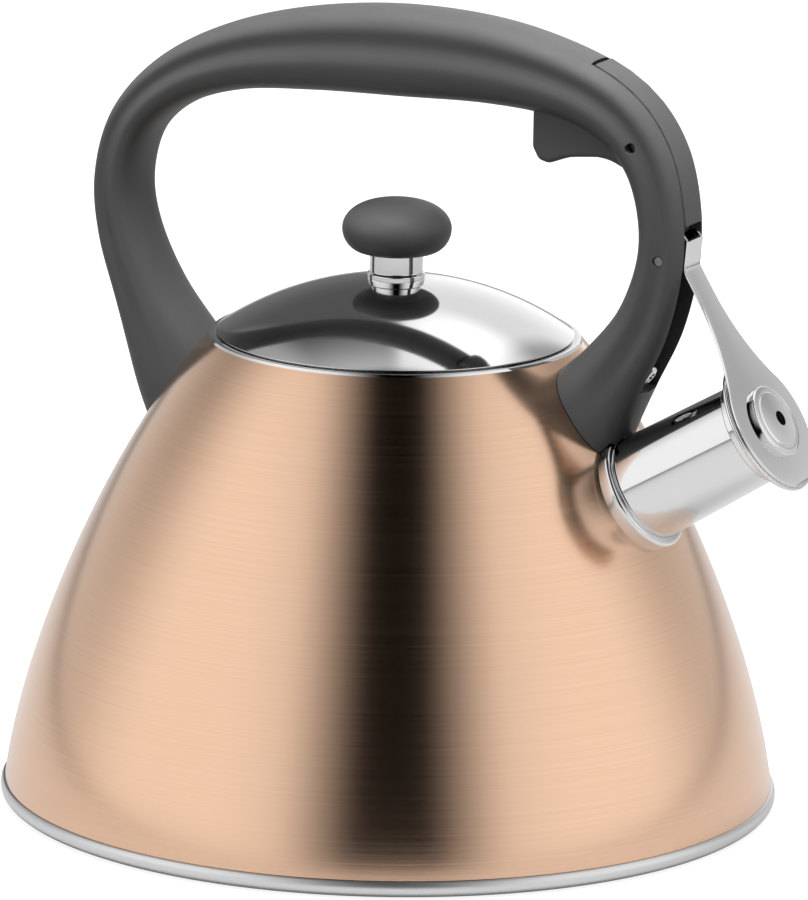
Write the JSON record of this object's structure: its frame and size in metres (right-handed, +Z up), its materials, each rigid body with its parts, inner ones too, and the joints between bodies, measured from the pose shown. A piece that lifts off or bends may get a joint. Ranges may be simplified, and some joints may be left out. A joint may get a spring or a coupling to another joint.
{
  "type": "stovetop whistling kettle",
  "caption": "Dome-shaped stovetop kettle with a fixed loop handle, a trigger that swings the whistle cap off its spout, and a lift-out lid with a round knob.",
  "frame": {"origin": "centre of the capsule's resting face, on the hob", "axes": "+Z up along the body's axis, +X towards the spout, +Y across the kettle"},
  "size_m": [0.2361, 0.22, 0.2279],
  "materials": {
    "copper_lacquer": "satin metallic lacquer over brushed steel",
    "polished_steel": "mirror polished",
    "satin_steel": "satin",
    "soft_touch": "fine grain",
    "heat_aluminium": "as rolled",
    "spring_steel": "drawn wire"
  },
  "bodies": {
    "root": {"body_shell": "copper_lacquer", "neck_ring": "polished_steel", "base_pan": "satin_steel", "heat_plate": "heat_aluminium", "base_capsule": "satin_steel", "spout_tube": "polished_steel", "spout_ring": "polished_steel", "front_bracket": "satin_steel", "rear_bracket": "satin_steel", "handle": "soft_touch", "handle_cover": "soft_touch", "handle_screws": "polished_steel", "trigger_pin": "satin_steel", "arm_pin": "satin_steel", "return_spring": "spring_steel"},
    "lid": {"lid_dome": "polished_steel", "lid_skirt": "satin_steel", "knob_washer": "satin_steel", "knob_screw": "satin_steel", "knob_collar": "polished_steel", "knob": "soft_touch"},
    "trigger": {"trigger": "soft_touch"},
    "whistle_arm": {"arm_plate": "polished_steel", "link_pin": "satin_steel", "cap_cup": "polished_steel", "whistle_disc": "satin_steel", "whistle_dome": "polished_steel"}
  },
  "joints": [
    {"name": "lid_lift", "type": "slide", "parent": "root", "child": "lid", "axis": [0, 0, 1], "range_m": [0, 0.025]},
    {"name": "trigger_squeeze", "type": "hinge", "parent": "root", "child": "trigger", "pos_m": [0.07622, 0, 0.1965], "axis": [0, 1, 0], "range_deg": [0, 10.5]},
    {"name": "cap_open", "type": "hinge", "parent": "root", "child": "whistle_arm", "pos_m": [0.08507, 0, 0.1656], "axis": [0, -1, 0], "range_deg": [0, 28], "stiffness_Nm_per_rad": 0.02, "springref_deg": -34.38, "deforming": ["return_spring"]}
  ],
  "couplings": [
    {"joint": "trigger_squeeze", "follows": "cap_open", "ratio": 0.375}
  ]
}
